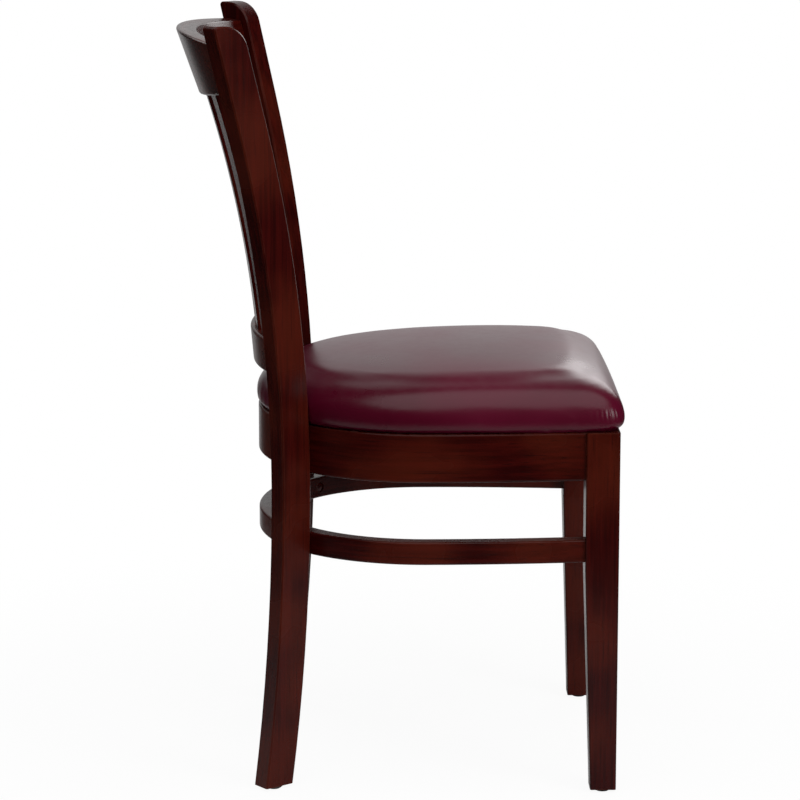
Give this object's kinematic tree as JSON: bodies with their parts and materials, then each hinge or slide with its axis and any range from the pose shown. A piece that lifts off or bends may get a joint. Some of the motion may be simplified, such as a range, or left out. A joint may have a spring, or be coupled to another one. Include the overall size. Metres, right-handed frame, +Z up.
{
  "type": "slat back restaurant chair",
  "caption": "Side chair with a bent-wood apron and stretcher ring, splayed curved rear legs, a slatted back with a bowed crest rail, and a padded vinyl seat.",
  "frame": {"origin": "on the floor, midway across the chair and midway between its foremost and rearmost points", "axes": "+Z up, -Y the way the sitter faces, +X to the sitter's left"},
  "size_m": [0.4668, 0.5054, 0.87],
  "materials": {
    "frame_wood": "dark red-brown stain under satin lacquer",
    "raw_wood": "unfinished beech",
    "plywood": "sanded plywood",
    "steel": "zinc plated",
    "foam": "open-cell upholstery foam",
    "vinyl": "glossy burgundy vinyl",
    "dust_cloth": "black non-woven cloth",
    "glide": "moulded dark plastic"
  },
  "bodies": {
    "root": {"front_leg_left": "frame_wood", "front_leg_right": "frame_wood", "rear_leg_left": "frame_wood", "rear_leg_right": "frame_wood", "seat_apron": "frame_wood", "front_rail": "frame_wood", "stretcher": "frame_wood", "crest_rail": "frame_wood", "lower_back_rail": "frame_wood", "back_slat_1": "frame_wood", "back_slat_2": "frame_wood", "back_slat_3": "frame_wood", "back_slat_4": "frame_wood", "back_slat_5": "frame_wood", "front_corner_block_left": "raw_wood", "front_corner_block_right": "raw_wood", "rear_seat_block_left": "raw_wood", "rear_seat_block_right": "raw_wood", "apron_dowels": "raw_wood", "front_rail_dowels": "raw_wood", "stretcher_dowels": "raw_wood", "crest_rail_dowels": "raw_wood", "lower_rail_dowels": "raw_wood", "seat_board": "plywood", "apron_leg_screws": "steel", "stretcher_leg_screws": "steel", "block_screws": "steel", "seat_screws": "steel", "hem_staples": "steel", "seat_foam": "foam", "seat_cover": "vinyl", "dust_cover": "dust_cloth", "front_glide_left": "glide", "front_glide_right": "glide", "rear_glide_left": "glide", "rear_glide_right": "glide"}
  },
  "joints": []
}
